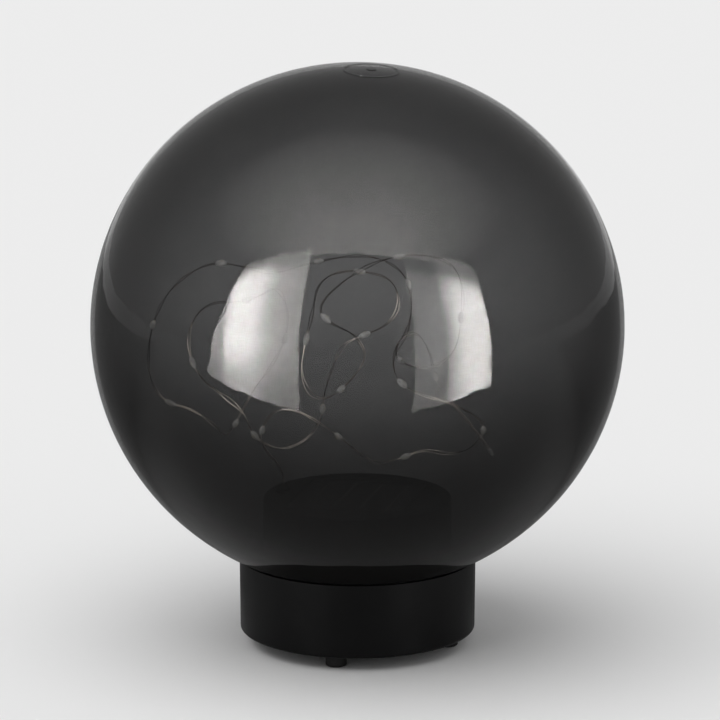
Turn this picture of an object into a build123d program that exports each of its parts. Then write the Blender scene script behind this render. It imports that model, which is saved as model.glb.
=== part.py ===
from build123d import *
import math
import os

# Garden globe light: a smoked globe that twists onto a low round base. A drum inside it
# carries a solar panel, and a string of small lights stands loose above the drum.
# Millimetres, +Z up; the origin is on the ground, midway between the four feet.

# ---- globe ----
globe_radius = 125.0
globe_half_height = 123.4
globe_wall = 2.0
pole_flat = 0.3             # radius of the flat spot at the pole, inside and out
neck_length = 14.0
neck_fillet = 1.5
neck_gap = 1.5              # between the drum and the neck's bore
mark_radius = 13.0          # moulded ring near the pole
mark_rim = 1.0
mark_rise = 0.35
mark_pip_radius = 2.2
mark_lean = 5.8             # degrees from the pole
mark_heading = -46.0        # degrees in plan, from +X

# ---- base ----
foot_height = 6.7
base_height = 35.2
base_draft = 0.3
base_wall = 2.4
base_bottom_fillet = 1.5
fillet_limit = 0.9          # largest fillet as a share of its wall
rim_lip = 1.2               # rim left outside the globe
shelf_height = 14.5         # from the base's lower edge to the shelf's underside
shelf_thickness = 2.5
shelf_bore_radius = 33.0

# ---- twist lock between globe and base ----
lug_count = 3
lug_span = 14.0             # degrees
lug_height = 2.6
lug_reach = 2.8
lug_side_room = 2.8         # between a lug's tip and the base's wall
lug_heading = 90.0          # degrees, first lug at rest
globe_twist = 30.0          # degrees from locked to free
lock_ring_height = 3.5
lock_ring_drop = 5.2        # rim to the lock ring's top
lock_gap = 0.5              # beside the neck and the lugs
slide_gap = 0.35            # above a lug
stop_span = 4.0             # degrees
stop_gap = 1.0              # degrees
seat_gap = 0.3              # between the globe and what it rests on
seal_side_gap = 0.4
wall_bite = 0.6             # how far the inner rings sink into the base's wall

# ---- drum and solar panel ----
drum_rise = 28.6            # drum top above the base's rim
drum_wall = 2.0
drum_edge_fillet = 1.0
panel_size = 55.0
panel_gap = 0.3
recess_depth = 3.0
recess_wall = 1.6
panel_corner_room = 0.92    # between the recess's corners and the drum's wall
tape_thickness = 0.6
tape_border = 3.0
panel_board_thickness = 1.0
cell_count = 4              # solar cells side by side
cell_border = 2.5
cell_gap = 0.6
cell_thickness = 0.3
ribbon_width = 1.4
ribbon_thickness = 0.1
resin_proud = 0.2
panel_hole_radius = 3.0
panel_hole_place = (12.0, 4.0)

# ---- bottom plate and feet ----
plate_thickness = 3.0
plate_inset = 0.8           # above the base's lower edge
plate_gap = 0.35
foot_radius = 5.0
foot_inset = 9.8            # foot centre to the base's inner wall
foot_sides = ("right", "back", "left", "front")   # from +X, going round
foot_fillet = 1.2
foot_stem_radius = 2.2
foot_barb = 0.7
foot_barb_height = 2.0
fit_gap = 0.1               # stems, screws and plugs in their holes
wire_gap = 0.05             # around the light string's wire
cut_past = 1.0              # cuts run this far past a face

# ---- screws ----
screw_radius = 1.5
screw_head_radius = 2.8
screw_head_height = 1.8
screw_length = 10.0
screw_slot = 0.7
screw_slot_depth = 0.7
screw_slot_margin = 0.7     # head left outside the cross slot's ends
boss_radius = 3.5
boss_bite = 0.45            # how far a drum boss sinks into the drum's wall
plate_screw_count = 3
plate_screw_inset = 6.6     # screw centre to the base's inner wall
plate_screw_heading = 45.0
drum_screw_count = 3
drum_screw_heading = 105.0
drum_boss_height = 10.0

# ---- battery cell and its pocket ----
cell_radius = 7.25
cell_length = 50.5
cell_nub_radius = 2.7
cell_nub_length = 1.2
cell_sleeve_fillet = 0.6
contact_thickness = 0.4
contact_width = 9.0
contact_tail = 3.0
contact_gap = 0.1
spring_length = 5.6
spring_radius = 3.2
spring_wire_radius = 0.4
spring_turns = 3
pocket_gap = 0.4
pocket_wall = 1.5

# ---- battery cover ----
cover_hub_radius = 28.9
cover_flange = 2.0
cover_flange_reach = 3.7    # beyond the hub
cover_gap = 0.4
cover_hub_wall = 2.0
cover_lug_count = 3
cover_lug_span = 20.0       # degrees
cover_lug_reach = 2.1
cover_lug_height = 2.0
cover_lug_heading = 30.0    # degrees, first lug at rest
cover_twist = 45.0          # degrees from shut to free
cover_seal_height = 1.1
ledge_height = 2.0
roof_gap = 0.7              # above the cover's lugs
collar_wall = 2.4
coin_slot_length = 22.0
coin_slot_width = 2.4
coin_slot_depth = 1.2

# ---- switch ----
switch_heading = -45.0      # degrees in plan, from +X
switch_inset = 9.6          # switch centre to the base's inner wall
switch_length = 9.0
switch_width = 4.6
switch_height = 4.7
switch_cavity = 1.6
switch_travel = 3.4
knob_length = 5.0
knob_width = 4.0
knob_height = 2.1
knob_stem = 2.0
knob_rib = 0.4
knob_rib_pitch = 1.25
knob_gap = 0.4
knob_slide_gap = 0.2        # between the grip and the recess's ceiling
finger_recess = 1.2
terminal_length = 1.6
terminal_width = 0.8
terminal_thickness = 0.4
terminal_spacing = 2.5

# ---- circuit board ----
board_length = 64.0
board_width = 32.0
board_thickness = 1.6
board_standoff = 3.0
board_screw_place = 22.0
board_screw_radius = 1.0
board_screw_head = 2.2
board_screw_length = 5.0
socket_size = (8.0, 6.0, 7.0)
socket_wall = 0.8
plug_proud = 1.0
panel_socket_place = (8.0, 10.0)
string_socket_place = (-10.0, 10.0)
chip_size = (5.0, 4.0, 1.6)
chip_place = (-1.0, -4.0)
chip_leg = 0.5
chip_leg_length = 1.0
chip_leg_pitch = 1.2
chip_row_legs = 4
coil_radius = 3.5
coil_height = 5.0
coil_flange = 1.1
coil_core_radius = 1.8
winding_inset = 0.55        # from the flange's edge
coil_place = (10.0, -9.0)
capacitor_radius = 2.5
capacitor_height = 7.0
capacitor_fillet = 0.5
capacitor_place = (-13.0, -10.0)
resistor_size = (3.2, 1.6, 0.6)
resistor_places = ((-2.0, -11.0), (3.0, -11.0))
lead_radius = 0.6
lead_spacing = 2.5
lead_bore_room = 1.32       # a switch lead's centre to the shelf's bore
# Corners between a lead's two ends, as shares of the way across and of the rise.
switch_lead_way = ((1.0, 1.0, 0.05), (0.92, 0.86, 0.35), (0.86, 0.58, 0.65))
panel_lead_way = ((0.0, 0.28), (0.5, 0.5), (1.0, 0.7))
string_lead_way = ((0.0, 0.22), (0.22, 0.42), (0.6, 0.52), (0.9, 0.62), (1.0, 0.8))

# ---- light string ----
string_radius = 0.6         # half of the twin wire's width
string_first_rise = 7.2     # straight up from the gland before the first bend
gland_inset = 6.5           # gland centre to the drum's inner wall, on -X
gland_radius = 2.5
gland_flange_radius = 4.0
gland_flange_height = 1.2
gland_nose_height = 3.0
gland_nose_radius = 1.3
led_count = 25
led_first = 36.0            # along the wire, from the gland
led_spacing = 52.0
drop_length = 7.0
drop_radius = 1.85
bead_turns = (41.0, 67.0, 23.0)   # where a bead's seam may lie, away from the wire's own seam
led_size = (1.6, 0.8, 0.5)
tip_radius = 1.3
tip_length = 5.0
tip_fillet = 0.9
bend_share = 0.45           # share of the shorter run that an arc takes
string_heading = 13.15      # degrees, the route is laid out turned by this about Z
gap_step = 1.5              # between the points that measure a tube's gap to itself
gap_reach = 12.0            # along the tube, closer points than this are its neighbours

# The string's way from the gland: (across, deep, up) from the globe's centre.
string_route = (
    (-44, 0, -60), (-46, -6, -49), (-39, -14, -37), (-29, -18, -36), (-19, -16, -42),
    (-9, -8, -51), (0, 4, -62), (9, 16, -71), (21, 24, -70), (32, 27, -66),
    (44, 22, -68), (55, 12, -62), (61, 4, -50), (54, -4, -41), (41, -10, -34),
    (28, -12, -30), (18, -10, -24), (16, -6, -13), (23, -2, -4), (26, 4, 8),
    (24, 12, 20), (15, 20, 27), (1, 26, 29), (-14, 24, 27), (-26, 16, 26),
    (-38, 8, 23), (-52, 0, 28), (-67, -6, 32), (-80, -8, 26), (-90, -4, 15),
    (-96, 4, 1), (-99, 12, -14), (-99, 20, -31), (-92, 26, -43), (-79, 26, -46),
    (-68, 18, -52), (-62, 6, -56), (-56, -8, -43), (-49, -14, -28), (-40, -16, -16),
    (-33, -14, -3), (-32, -8, 11), (-38, 2, 19), (-45, 12, 12), (-56, 20, 7),
    (-70, 26, 6), (-79, 28, -3), (-81, 24, -16), (-75, 16, -29), (-63, 6, -35),
    (-53, 0, -42), (-49, 6, -56), (-36, 14, -64), (-24, 16, -59), (-17, 10, -48),
    (-16, 2, -34), (-12, -6, -19), (-7, -12, -6), (3, -16, -1), (14, -18, 4),
    (20, -16, 13), (17, -10, 24), (4, -4, 27), (-10, 0, 26), (-19, 4, 19),
    (-21, 8, 5), (-25, 10, -11), (-27, 6, -24), (-22, -2, -34), (-13, -14, -32),
    (-3, -24, -21), (5, -30, -8), (-1, -32, 3), (-11, -32, 7), (-18, -30, 13),
    (-15, -26, 19), (-5, -22, 27), (7, -20, 34), (20, -22, 38), (33, -26, 39),
    (45, -30, 35), (49, -30, 23), (48, -26, 8), (46, -20, -7), (38, -16, -16),
    (26, -20, -16), (17, -28, -9), (19, -36, 2), (28, -43, 7), (34, -43, -5),
    (36, -36, -20), (45, -28, -32), (55, -22, -45), (62, -18, -56),
)

# ---- heights and radii that follow ----
base_bottom = foot_height
rim_top = base_bottom + base_height
recess_size = panel_size + 2 * panel_gap
recess_outside = recess_size + 2 * recess_wall
drum_inner = recess_outside / math.sqrt(2) + panel_corner_room
drum_radius = drum_inner + drum_wall
neck_inner = drum_radius + neck_gap
neck_outer = neck_inner + globe_wall
lug_radius = neck_outer + lug_reach
base_inner = lug_radius + lug_side_room
base_radius = base_inner + base_wall
rim_inner = base_radius - rim_lip
globe_centre = rim_top + globe_half_height * math.sqrt(1 - (rim_inner / globe_radius) ** 2)
neck_top = globe_centre - globe_half_height * math.sqrt(1 - (neck_outer / globe_radius) ** 2)
neck_bottom = neck_top - neck_length
lock_ring_top = rim_top - lock_ring_drop
lock_ring_bottom = lock_ring_top - lock_ring_height
lug_top = lock_ring_bottom - slide_gap
shelf_bottom = base_bottom + shelf_height
shelf_top = shelf_bottom + shelf_thickness
drum_top = rim_top + drum_rise
drum_boss_circle = drum_inner - boss_radius + boss_bite
recess_floor = drum_top - recess_depth
panel_board_bottom = recess_floor + tape_thickness
panel_board_top = panel_board_bottom + panel_board_thickness
resin_top = drum_top + resin_proud
plate_bottom = base_bottom + plate_inset
plate_top = plate_bottom + plate_thickness
plate_radius = base_inner - plate_gap
plate_screw_circle = base_inner - plate_screw_inset
foot_circle = base_inner - foot_inset
switch_circle = base_inner - switch_inset
cover_radius = cover_hub_radius + cover_flange_reach
cover_bore_radius = cover_radius + cover_gap
ledge_bottom = plate_bottom + cover_flange + cover_seal_height + seat_gap
ledge_top = ledge_bottom + ledge_height
ledge_radius = cover_hub_radius + cover_gap
cover_lug_radius = cover_hub_radius + cover_lug_reach
cover_lug_bottom = ledge_top + slide_gap
cover_lug_top = cover_lug_bottom + cover_lug_height
collar_radius = cover_bore_radius + collar_wall
roof_bottom = cover_lug_top + roof_gap
pocket_bottom = roof_bottom + pocket_wall
pocket_length = cell_length + spring_length + 2 * contact_thickness + 4 * contact_gap
pocket_width = 2 * (cell_radius + pocket_gap)
pocket_ceiling = pocket_bottom + pocket_width
pocket_top = pocket_ceiling + pocket_wall
cell_axis = pocket_bottom + pocket_gap + cell_radius
cell_plus_end = pocket_length / 2 - contact_thickness - 2 * contact_gap
cell_minus_end = cell_plus_end - cell_length
board_bottom = pocket_top + board_standoff
board_top = board_bottom + board_thickness
socket_top = board_top + socket_size[2]
switch_top = plate_top + switch_height
knob_top = plate_bottom + finger_recess - knob_slide_gap
knob_slot_length = knob_stem + switch_travel + 2 * knob_gap
gland_place = gland_inset - drum_inner
gland_top = drum_top + gland_flange_height + gland_nose_height


def ring(outer, inner, low, high):
    """Flat ring about Z between two heights; a disc where the inner radius is zero."""
    body = Pos(0, 0, low) * Cylinder(outer, high - low, align=(Align.CENTER, Align.CENTER, Align.MIN))
    if inner > 0:
        middle = (low + high) / 2
        body -= Pos(0, 0, middle) * Cylinder(inner, high - low + 2 * cut_past)
    return body


def sector(outer, inner, low, high, heading, span):
    """Part of a ring, centred on a heading in plan."""
    profile = Plane.XZ * Pos((outer + inner) / 2, (low + high) / 2) * Rectangle(outer - inner, high - low)
    return Rot(0, 0, heading - span / 2) * revolve(profile, Axis.Z, span)


def block(size, place, low):
    """Upright box by its plan centre and its lowest height."""
    return Pos(place[0], place[1], low) * Box(*size, align=(Align.CENTER, Align.CENTER, Align.MIN))


def post(radius, place, low, high):
    """Upright round post or hole."""
    return Pos(place[0], place[1], 0) * ring(radius, 0, low, high)


def around(count, circle, heading):
    """Places evenly spaced on a circle."""
    angles = [math.radians(heading + 360 * k / count) for k in range(count)]
    return [(circle * math.cos(a), circle * math.sin(a)) for a in angles]


def turned(point, heading):
    """A point turned about Z."""
    a = math.radians(heading)
    x, y, z = point
    return (x * math.cos(a) - y * math.sin(a), x * math.sin(a) + y * math.cos(a), z)


def screw(place, head_low, length, radius, head_radius, points_up):
    """Pan-head screw with a cross slot, along Z from the head's flat side."""
    body = ring(radius, 0, 0, length) + ring(head_radius, 0, -screw_head_height, 0)
    slot_length = 2 * (head_radius - screw_slot_margin)
    slots = [Rot(0, 0, turn) * Box(slot_length, screw_slot, 2 * screw_slot_depth) for turn in (0, 90)]
    body -= Pos(0, 0, -screw_head_height) * (slots[0] + slots[1])
    flip = 0 if points_up else 180
    return Pos(place[0], place[1], head_low) * Rot(flip, 0, 0) * body


def bent_path(points):
    """Straight runs joined by arcs as large as the runs allow, with the arcs' radii."""
    spots = [Vector(*p) for p in points]
    runs = [b - a for a, b in zip(spots, spots[1:])]
    radii = []
    for before, after in zip(runs, runs[1:]):
        half_turn = math.radians(before.get_angle(after)) / 2
        radii.append(bend_share * min(before.length, after.length) / math.tan(half_turn))
    return FilletPolyline(*spots, radius=radii), radii


def tube(path, radius):
    """Round tube along a path."""
    start = Plane(origin=path @ 0, z_dir=path % 0)
    return sweep(start * Circle(radius), path=path)


def report_tube(name, solid, path, radii, radius):
    expected = math.pi * radius**2 * path.length
    print(f"{name}: {path.length:.1f} mm, radii {min(radii):.1f} to {max(radii):.1f} mm,"
          f" volume {solid.volume:.1f} against {expected:.1f} mm3")


def report_gap(name, path, radius):
    """Least gap between a tube and itself, measured on points along it."""
    count = round(path.length / gap_step)
    spots = [tuple(path.position_at(k / count)) for k in range(count + 1)]
    away = round(gap_reach / gap_step)
    least = min(math.dist(spots[i], other) for i in range(count - away) for other in spots[i + away:])
    print(f"{name}: least gap to itself {least - 2 * radius:.2f} mm")


def ellipsoid_profile(grow, stop_radius):
    """Half outline of the globe, grown by a distance, from a radius near its foot to the pole."""
    wide, tall = globe_radius + grow, globe_half_height + grow
    start = -math.degrees(math.acos(stop_radius / wide))
    end = math.degrees(math.acos(pole_flat / wide))
    return EllipticalCenterArc((0, globe_centre), wide, tall, start_angle=start, arc_size=end - start)


def globe_space(grow):
    """Solid of the globe's outside, grown by a distance, for seats that follow it."""
    arc = ellipsoid_profile(grow, pole_flat)
    low, high = arc @ 0, arc @ 1
    axis = Polyline(high, (0, high.Y), (0, low.Y), low)
    return revolve(make_face(Plane.XZ * Curve([arc, axis])), Axis.Z)


# ---- globe ----
def make_globe():
    outside = ellipsoid_profile(0, neck_outer)
    inside = ellipsoid_profile(-globe_wall, neck_inner)
    foot = Polyline(outside @ 0, (neck_outer, neck_bottom), (neck_inner, neck_bottom), inside @ 0)
    high, low = outside @ 1, inside @ 1
    pole = Polyline(low, (0, low.Y), (0, high.Y), high)
    profile = make_face(Plane.XZ * Curve([outside, foot, inside, pole]))
    corner = profile.vertices().sort_by_distance((neck_outer, 0, neck_top))[0]
    shell = revolve(fillet(corner, neck_fillet), Axis.Z)
    sunk = globe_wall / 2
    dip = mark_radius**2 / (2 * globe_radius)
    mark = ring(mark_radius, mark_radius - mark_rim, -dip - sunk, mark_rise - dip)
    mark += ring(mark_pip_radius, 0, -sunk, mark_rise)
    upright = Pos(0, 0, globe_centre) * Rot(0, 0, mark_heading) * Rot(0, mark_lean, 0)
    shell += upright * Pos(0, 0, globe_half_height) * mark
    for k in range(lug_count):
        heading = lug_heading + 360 * k / lug_count
        root = neck_outer - globe_wall / 2
        shell += sector(lug_radius, root, lug_top - lug_height, lug_top, heading, lug_span)
    return shell


def make_globe_seal():
    inner = neck_outer + neck_fillet + seal_side_gap
    body = ring(base_inner - seal_side_gap, inner, lock_ring_top, rim_top)
    return body - globe_space(seat_gap)


# ---- base ----
def make_base_housing():
    corners = ((base_inner, base_bottom), (base_radius - base_draft, base_bottom),
               (base_radius, rim_top), (base_inner, rim_top))
    skirt = revolve(make_face(Plane.XZ * Polyline(*corners, close=True)), Axis.Z)
    low_edge = skirt.edges().group_by(Axis.Z)[0].sort_by(SortBy.RADIUS)[-1]
    skirt = fillet(low_edge, min(base_bottom_fillet, fillet_limit * base_wall))
    skirt += ring(base_inner + wall_bite, shelf_bore_radius, shelf_bottom, shelf_top)
    lock = ring(base_inner + wall_bite, neck_outer + lock_gap, lock_ring_bottom, lock_ring_top)
    gate_span = lug_span + 2 * stop_gap + math.degrees(2 * lock_gap / lug_radius)
    for k in range(lug_count):
        heading = lug_heading + 360 * k / lug_count
        gate = sector(lug_radius + lock_gap, neck_outer, lock_ring_bottom - cut_past,
                      lock_ring_top + cut_past, heading + globe_twist, gate_span)
        lock -= gate
        away = (lug_span + stop_span) / 2 + stop_gap
        for stop_heading in (heading - away, heading + globe_twist + away):
            skirt += sector(base_inner + wall_bite, neck_outer + lock_gap, shelf_top, lock_ring_bottom,
                            stop_heading, stop_span)
    skirt += lock
    for place in around(plate_screw_count, plate_screw_circle, plate_screw_heading):
        skirt += post(boss_radius, place, plate_top, shelf_bottom)
        skirt -= post(screw_radius + fit_gap, place, plate_top, shelf_bottom)
    for place in around(drum_screw_count, drum_boss_circle, drum_screw_heading):
        skirt -= post(screw_radius + fit_gap, place, shelf_bottom, shelf_top)
    return skirt - globe_space(seat_gap)


# ---- drum ----
def make_drum():
    body = ring(drum_radius, 0, shelf_top, drum_top)
    rim = body.edges().group_by(Axis.Z)[-1]
    body = fillet(rim, drum_edge_fillet)
    body -= ring(drum_inner, 0, shelf_top, drum_top - drum_wall)
    floor_low = recess_floor - recess_wall
    body += block((recess_outside, recess_outside, drum_top - drum_wall - floor_low), (0, 0), floor_low)
    body -= block((recess_size, recess_size, recess_depth), (0, 0), recess_floor)
    for place in around(drum_screw_count, drum_boss_circle, drum_screw_heading):
        body += post(boss_radius, place, shelf_top, shelf_top + drum_boss_height)
        body -= post(screw_radius + fit_gap, place, shelf_top, shelf_top + screw_length)
    body -= post(gland_radius + fit_gap, (gland_place, 0), drum_top - drum_wall, drum_top)
    body -= post(panel_hole_radius, panel_hole_place, floor_low, recess_floor)
    return body


# ---- solar panel, layer by layer ----
def make_panel_tape():
    size = panel_size - 2 * tape_border
    tape = block((size, size, tape_thickness), (0, 0), recess_floor)
    return tape - post(panel_hole_radius, panel_hole_place, recess_floor, panel_board_bottom)


def make_panel_board():
    return block((panel_size, panel_size, panel_board_thickness), (0, 0), panel_board_bottom)


def cell_rows():
    """Plan centres across X and the width of each solar cell."""
    field = panel_size - 2 * cell_border
    width = (field - (cell_count - 1) * cell_gap) / cell_count
    return [-field / 2 + width / 2 + k * (width + cell_gap) for k in range(cell_count)], width


def make_solar_cells():
    centres, width = cell_rows()
    size = (width, panel_size - 2 * cell_border, cell_thickness)
    return [block(size, (x, 0), panel_board_top) for x in centres]


def make_cell_ribbons():
    centres, _ = cell_rows()
    size = (ribbon_width, panel_size - 2 * cell_border, ribbon_thickness)
    return [block(size, (x, 0), panel_board_top + cell_thickness) for x in centres]


def make_panel_resin(cells, ribbons):
    body = block((panel_size, panel_size, resin_top - panel_board_top), (0, 0), panel_board_top)
    body = fillet(body.edges().group_by(Axis.Z)[-1], resin_proud)
    for inner in cells + ribbons:
        body -= inner
    return body


# ---- bottom plate with the cell pocket ----
def make_bottom_plate():
    body = ring(plate_radius, 0, plate_bottom, plate_top)
    body += ring(collar_radius, 0, plate_top, pocket_bottom)
    body += block((pocket_length + 2 * pocket_wall, pocket_width + 2 * pocket_wall,
                   pocket_top - pocket_bottom), (0, 0), pocket_bottom)
    body -= ring(cover_bore_radius, 0, plate_bottom, ledge_bottom)
    body -= ring(ledge_radius, 0, ledge_bottom, ledge_top)
    body -= ring(cover_bore_radius, 0, ledge_top, roof_bottom)
    away = (cover_lug_span + stop_span) / 2 + stop_gap
    for k in range(cover_lug_count):
        heading = cover_lug_heading + 360 * k / cover_lug_count
        body -= sector(cover_lug_radius + cover_gap, ledge_radius - cut_past, ledge_bottom, ledge_top,
                       heading - cover_twist, cover_lug_span + 2 * stop_gap)
        for stop_heading in (heading + away, heading - cover_twist - away):
            body += sector(cover_bore_radius, ledge_radius, ledge_top, roof_bottom,
                           stop_heading, stop_span)
    body -= block((pocket_length, pocket_width, pocket_ceiling - roof_bottom), (0, 0), roof_bottom)
    tail_room = contact_tail + 2 * pocket_gap
    for side in (-1, 1):
        x = side * (pocket_length / 2 - contact_gap - contact_thickness / 2)
        slot = (contact_thickness + 2 * contact_gap, tail_room, pocket_wall)
        body -= block(slot, (x, 0), pocket_ceiling)
        post_place = (side * board_screw_place, 0)
        body += post(board_screw_head, post_place, pocket_top, board_bottom)
        body -= post(board_screw_radius + fit_gap, post_place, board_top - board_screw_length, board_bottom)
    for place in around(len(foot_sides), foot_circle, 0):
        body -= post(foot_stem_radius + fit_gap, place, plate_bottom, plate_top)
    head_low = plate_bottom + screw_head_height
    for place in around(plate_screw_count, plate_screw_circle, plate_screw_heading):
        body -= post(screw_radius + fit_gap, place, plate_bottom, plate_top)
        body -= post(screw_head_radius + fit_gap, place, plate_bottom, head_low)
    recess = (knob_length + switch_travel + 2 * knob_gap, knob_width + 2 * knob_gap, finger_recess)
    slot = (knob_slot_length, knob_stem + 2 * knob_gap, plate_thickness)
    cuts = block(recess, (0, 0), plate_bottom) + block(slot, (0, 0), plate_bottom)
    return body - switch_spot() * cuts


def switch_spot():
    """Where the switch sits: its local X runs along the knob's travel."""
    return Rot(0, 0, switch_heading) * Pos(switch_circle, 0, 0) * Rot(0, 0, 90)


def make_foot(place):
    barb = foot_stem_radius + foot_barb
    pad = ring(foot_radius, 0, 0, plate_bottom)
    pad = fillet(pad.edges().group_by(Axis.Z)[0], foot_fillet)
    stem = ring(foot_stem_radius, 0, plate_bottom, plate_top)
    head = Pos(0, 0, plate_top + foot_barb_height / 2) * Cone(barb, foot_stem_radius, foot_barb_height)
    return Pos(place[0], place[1], 0) * (pad + stem + head)


# ---- battery cover ----
def make_battery_cover():
    body = ring(cover_radius, 0, plate_bottom, plate_bottom + cover_flange)
    hub_inner = cover_hub_radius - cover_hub_wall
    body += ring(cover_hub_radius, hub_inner, plate_bottom + cover_flange, cover_lug_top)
    for k in range(cover_lug_count):
        heading = cover_lug_heading + 360 * k / cover_lug_count
        body += sector(cover_lug_radius, cover_hub_radius - cover_hub_wall / 2, cover_lug_bottom,
                       cover_lug_top, heading, cover_lug_span)
    slot = block((coin_slot_length, coin_slot_width, coin_slot_depth), (0, 0), plate_bottom)
    for side in (-1, 1):
        slot += post(coin_slot_width / 2, (side * coin_slot_length / 2, 0), plate_bottom,
                     plate_bottom + coin_slot_depth)
    return body - slot


def make_cover_seal():
    low = plate_bottom + cover_flange
    return ring(cover_radius - cover_gap, cover_hub_radius + fit_gap, low, low + cover_seal_height)


# ---- cell and contacts ----
def along_x(shape, x, z):
    """A shape made about Z, laid so that its Z runs along X."""
    return Pos(x, 0, z) * Rot(0, 90, 0) * shape


def make_battery_cell():
    can = ring(cell_radius, 0, 0, cell_length - cell_nub_length)
    can = fillet(can.edges().filter_by(GeomType.CIRCLE), cell_sleeve_fillet)
    can += ring(cell_nub_radius, 0, cell_length - cell_nub_length, cell_length)
    return along_x(can, cell_minus_end, cell_axis)


def make_cell_contact(side):
    x = side * (pocket_length / 2 - contact_gap - contact_thickness / 2)
    low = pocket_bottom + pocket_gap
    high = pocket_ceiling - pocket_gap
    plate = block((contact_thickness, contact_width, high - low), (x, 0), low)
    return plate + block((contact_thickness, contact_tail, board_bottom - high), (x, 0), high)


def make_cell_spring():
    room = spring_length - 2 * (spring_wire_radius + contact_gap)
    pitch = room / spring_turns
    coil = Helix(pitch, room, spring_radius)
    wire = sweep(Plane(origin=coil @ 0, z_dir=coil % 0) * Circle(spring_wire_radius), path=coil)
    print(f"cell spring: {spring_turns} turns, least gap to itself {pitch - 2 * spring_wire_radius:.2f} mm")
    return along_x(wire, cell_minus_end - spring_length + spring_wire_radius + contact_gap, cell_axis)


# ---- switch ----
def make_switch_body():
    body = block((switch_length, switch_width, switch_height), (0, 0), plate_top)
    body -= block((knob_slot_length, knob_stem + 2 * knob_gap, switch_cavity), (0, 0), plate_top)
    for side in (-1, 0, 1):
        pin = (terminal_width, terminal_thickness, terminal_length)
        body += block(pin, (side * terminal_spacing, 0), switch_top)
    return switch_spot() * body


def make_switch_knob():
    grip = block((knob_length, knob_width, knob_height), (0, 0), knob_top - knob_height)
    for step in (-1, 0, 1):
        groove = (knob_rib, knob_width, knob_rib)
        grip -= block(groove, (step * knob_rib_pitch, 0), knob_top - knob_height)
    stem_top = plate_top + switch_cavity - knob_gap
    grip += block((knob_stem, knob_stem, stem_top - knob_top), (0, 0), knob_top)
    return switch_spot() * Pos(-switch_travel / 2, 0, 0) * grip


def make_switch_lead(side):
    start = switch_spot() * Pos(side * terminal_spacing, 0, 0)
    x, y = start.position.X, start.position.Y
    low = switch_top + terminal_length
    cross = (low + shelf_bottom + lead_radius) / 2
    rise = board_bottom - cross
    inward = (shelf_bore_radius - lead_bore_room) / switch_circle
    way = [(x * inward * east, y * inward * north, cross + share * rise)
           for east, north, share in switch_lead_way]
    points = ((x, y, low), (x, y, cross), *way, (way[-1][0], way[-1][1], board_bottom))
    path, radii = bent_path(points)
    wire = tube(path, lead_radius)
    report_tube("switch lead", wire, path, radii, lead_radius)
    return wire


# ---- circuit board and what is on it ----
def make_circuit_board():
    board = block((board_length, board_width, board_thickness), (0, 0), board_bottom)
    for side in (-1, 1):
        board -= post(board_screw_radius + fit_gap, (side * board_screw_place, 0), board_bottom, board_top)
    return board


def make_control_chip():
    body = block(chip_size, chip_place, board_top)
    for row in (-1, 1):
        for k in range(chip_row_legs):
            step = k - (chip_row_legs - 1) / 2
            place = (chip_place[0] + step * chip_leg_pitch,
                     chip_place[1] + row * (chip_size[1] + chip_leg) / 2)
            body += block((chip_leg, chip_leg_length, chip_leg), place, board_top)
    return body


def make_boost_coil():
    high = board_top + coil_height
    core = post(coil_radius, coil_place, board_top, board_top + coil_flange)
    core += post(coil_radius, coil_place, high - coil_flange, high)
    return core + post(coil_core_radius, coil_place, board_top, high)


def make_coil_winding():
    low, high = board_top + coil_flange, board_top + coil_height - coil_flange
    outer = coil_radius - winding_inset
    return post(outer, coil_place, low, high) - post(coil_core_radius, coil_place, low, high)


def make_capacitor():
    can = post(capacitor_radius, capacitor_place, board_top, board_top + capacitor_height)
    return fillet(can.edges().group_by(Axis.Z)[-1], capacitor_fillet)


def make_resistors():
    return [block(resistor_size, place, board_top) for place in resistor_places]


def make_socket(place):
    inner = (socket_size[0] - 2 * socket_wall, socket_size[1] - 2 * socket_wall, socket_size[2])
    return block(socket_size, place, board_top) - block(inner, place, board_top + socket_wall)


def make_plug(place):
    room = 2 * (socket_wall + fit_gap)
    low = board_top + socket_wall
    size = (socket_size[0] - room, socket_size[1] - room, socket_top + plug_proud - low)
    return block(size, place, low)


def make_panel_lead(side):
    shift = side * lead_spacing / 2
    low = socket_top + plug_proud
    rise = panel_board_bottom - low
    foot, top = panel_socket_place, panel_hole_place
    way = [(foot[0] + shift + share * (top[0] - foot[0]), foot[1] + share * (top[1] - foot[1]),
            low + lift * rise) for share, lift in panel_lead_way]
    points = ((way[0][0], way[0][1], low), *way, (way[-1][0], way[-1][1], panel_board_bottom))
    path, radii = bent_path(points)
    wire = tube(path, lead_radius)
    report_tube("panel lead", wire, path, radii, lead_radius)
    return wire


# ---- light string ----
def make_string_gland():
    low = drum_top - drum_wall
    body = ring(gland_flange_radius, 0, drum_top, drum_top + gland_flange_height)
    body += Pos(0, 0, drum_top + gland_flange_height + gland_nose_height / 2) * Cone(
        gland_radius, gland_nose_radius, gland_nose_height)
    body += ring(gland_radius, 0, low, drum_top)
    body += ring(gland_radius + foot_barb, 0, low - gland_flange_height, low)
    body -= ring(string_radius + wire_gap, 0, low - gland_flange_height, gland_top)
    return Pos(gland_place, 0, 0) * body


def make_string_lead():
    x, y = string_socket_place
    low = socket_top + plug_proud
    rise = drum_top - drum_wall - gland_flange_height - low
    way = [(x + share * (gland_place - x), y * (1 - share), low + lift * rise)
           for share, lift in string_lead_way]
    points = ((x, y, low), *way, (gland_place, 0, gland_top))
    path, radii = bent_path(points)
    wire = tube(path, string_radius)
    report_tube("string lead", wire, path, radii, string_radius)
    return wire


def string_points():
    """The string's corners: straight out of the gland, then along its route."""
    centred = [turned(p, string_heading) for p in string_route]
    rest = [(x, y, z + globe_centre) for x, y, z in centred]
    return [(gland_place, 0, gland_top), (gland_place, 0, gland_top + string_first_rise)] + rest


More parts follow.
